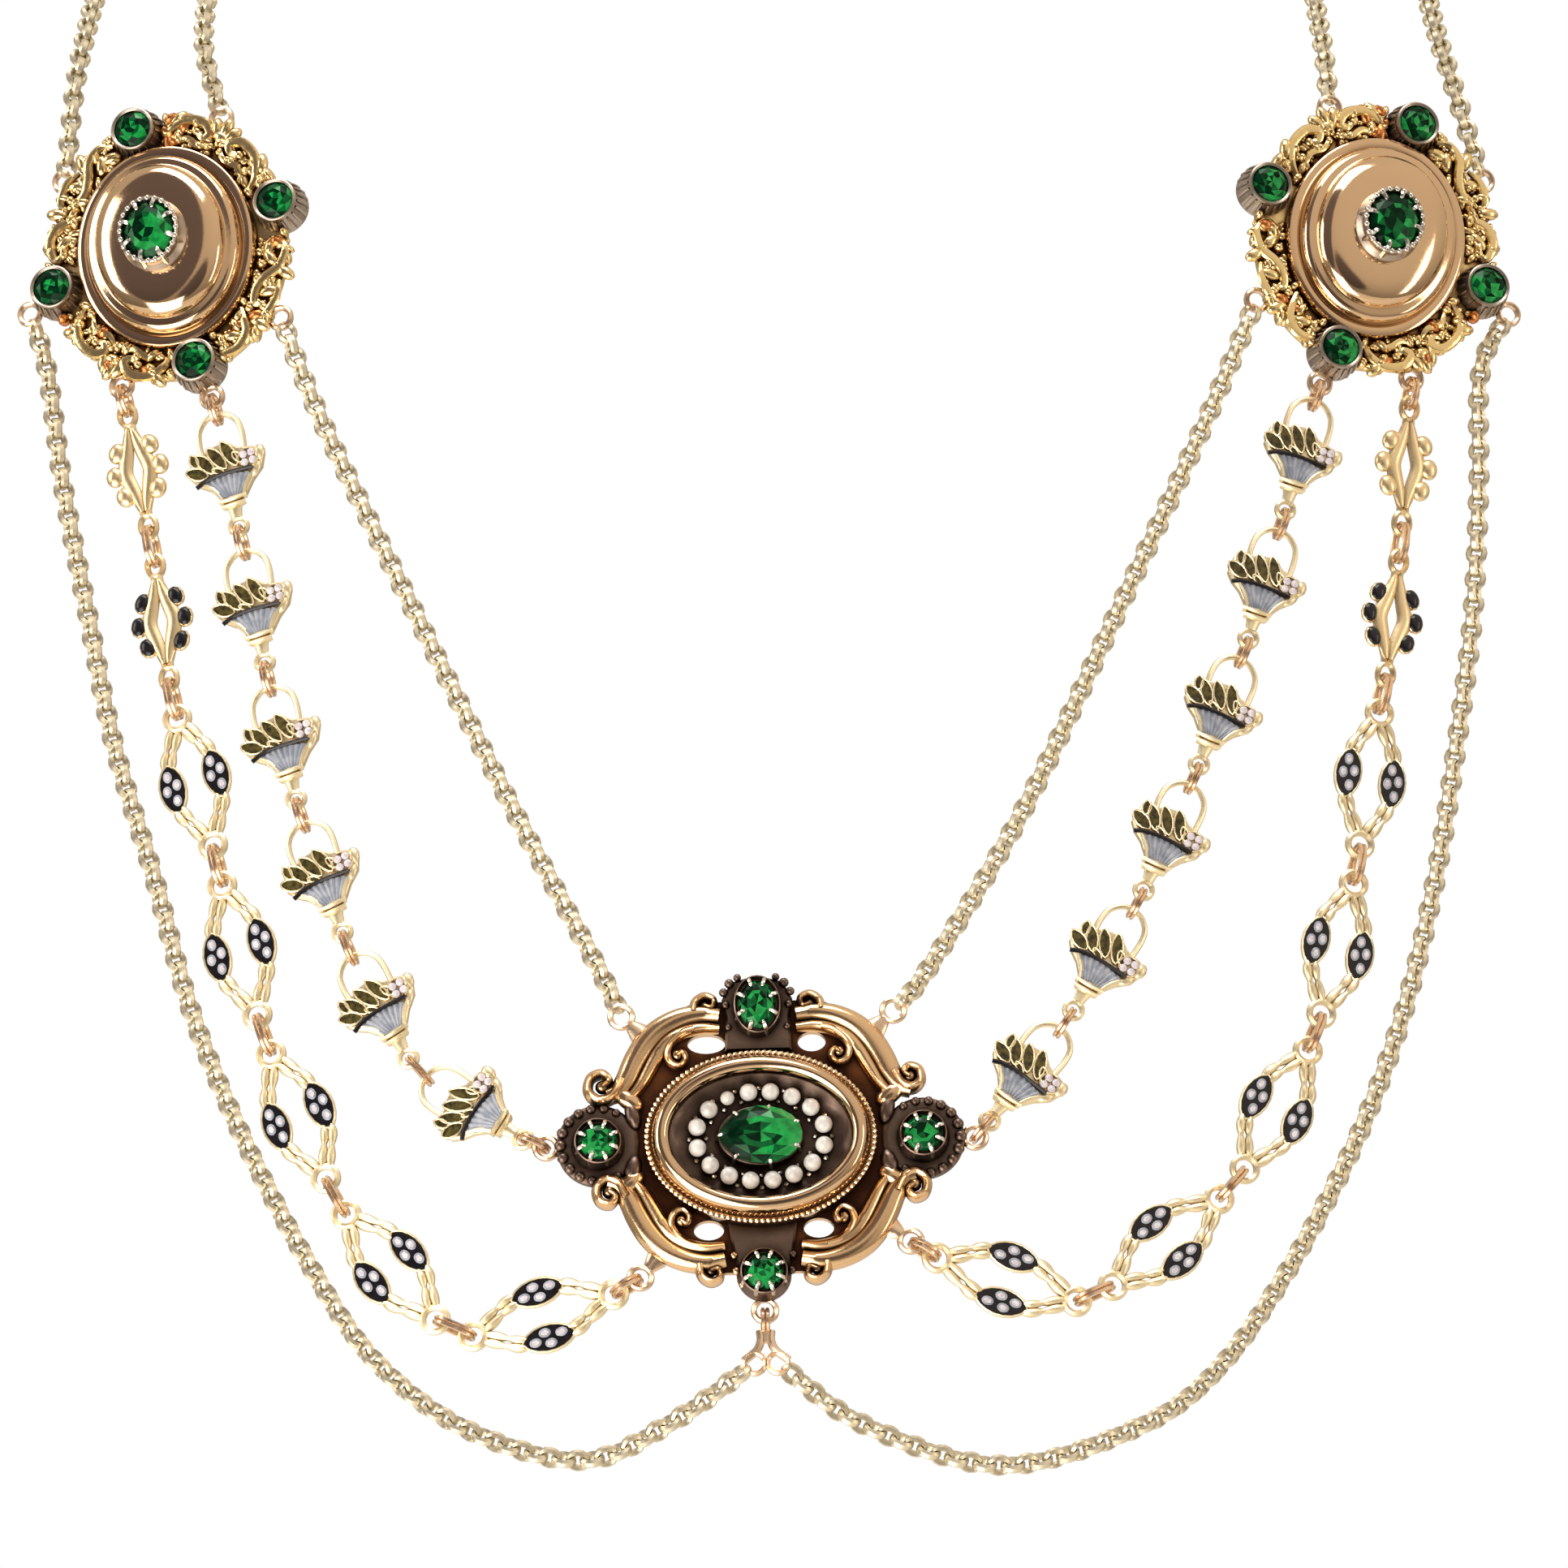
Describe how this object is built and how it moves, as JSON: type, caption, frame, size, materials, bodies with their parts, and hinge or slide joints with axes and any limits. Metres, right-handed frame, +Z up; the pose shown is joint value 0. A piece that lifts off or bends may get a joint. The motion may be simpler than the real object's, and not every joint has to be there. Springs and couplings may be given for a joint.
{
  "type": "festoon necklace",
  "caption": "Festoon necklace of jewelled plaques joined by fine chain, enamelled basket links and lozenge links, in the form it takes when worn.",
  "frame": {"origin": "at the nape, on the inside face of the clasp, at the middle of its length and height", "axes": "+Z up as worn, -Y towards the wearer's chest, +X to the right as seen from the front"},
  "size_m": [0.1552, 0.1464, 0.1933],
  "materials": {
    "rose_gold": "polished, worn, darkened in the recesses",
    "yellow_gold": "cast and chased, satin",
    "chain_gold": "drawn wire, polished",
    "ring_gold": "drawn wire, polished, reddish",
    "green_paste": "faceted, foil-backed",
    "pearl": "lustrous",
    "dark_silver": "oxidised",
    "claw_silver": "burnished",
    "black_enamel": "glossy",
    "lavender_enamel": "glossy",
    "white_enamel": "glossy",
    "leaf_enamel": "glossy"
  },
  "bodies": {
    "root": {"back_chain_left_inner": "chain_gold", "back_chain_left_outer": "chain_gold", "back_chain_right_inner": "chain_gold", "back_chain_right_outer": "chain_gold", "basket_left_1": "yellow_gold", "basket_left_2": "yellow_gold", "basket_left_3": "yellow_gold", "basket_left_4": "yellow_gold", "basket_left_5": "yellow_gold", "basket_left_6": "yellow_gold", "basket_right_1": "yellow_gold", "basket_right_2": "yellow_gold", "basket_right_3": "yellow_gold", "basket_right_4": "yellow_gold", "basket_right_5": "yellow_gold", "basket_right_6": "yellow_gold", "basket_rings_left": "ring_gold", "basket_rings_right": "ring_gold", "centre_bezel": "rose_gold", "centre_frame": "rose_gold", "centre_pearls": "pearl", "centre_stone": "green_paste", "centre_stone_east": "green_paste", "centre_stone_north": "green_paste", "centre_stone_south": "green_paste", "centre_stone_west": "green_paste", "clasp": "yellow_gold", "drop_link": "chain_gold", "inner_chain_left": "chain_gold", "inner_chain_right": "chain_gold", "lozenge_left_1": "yellow_gold", "lozenge_left_2": "yellow_gold", "lozenge_left_3": "yellow_gold", "lozenge_left_4": "yellow_gold", "lozenge_left_5": "yellow_gold", "lozenge_left_6": "yellow_gold", "lozenge_left_7": "yellow_gold", "lozenge_right_1": "yellow_gold", "lozenge_right_2": "yellow_gold", "lozenge_right_3": "yellow_gold", "lozenge_right_4": "yellow_gold", "lozenge_right_5": "yellow_gold", "lozenge_right_6": "yellow_gold", "lozenge_right_7": "yellow_gold", "lozenge_rings_left": "ring_gold", "lozenge_rings_right": "ring_gold", "outer_chain_left": "chain_gold", "outer_chain_right": "chain_gold", "plaque_dome_left": "rose_gold", "plaque_dome_right": "rose_gold", "plaque_frame_left": "yellow_gold", "plaque_frame_right": "yellow_gold", "plaque_side_stones_left": "green_paste", "plaque_side_stones_right": "green_paste", "plaque_stone_left": "green_paste", "plaque_stone_right": "green_paste"}
  },
  "joints": []
}
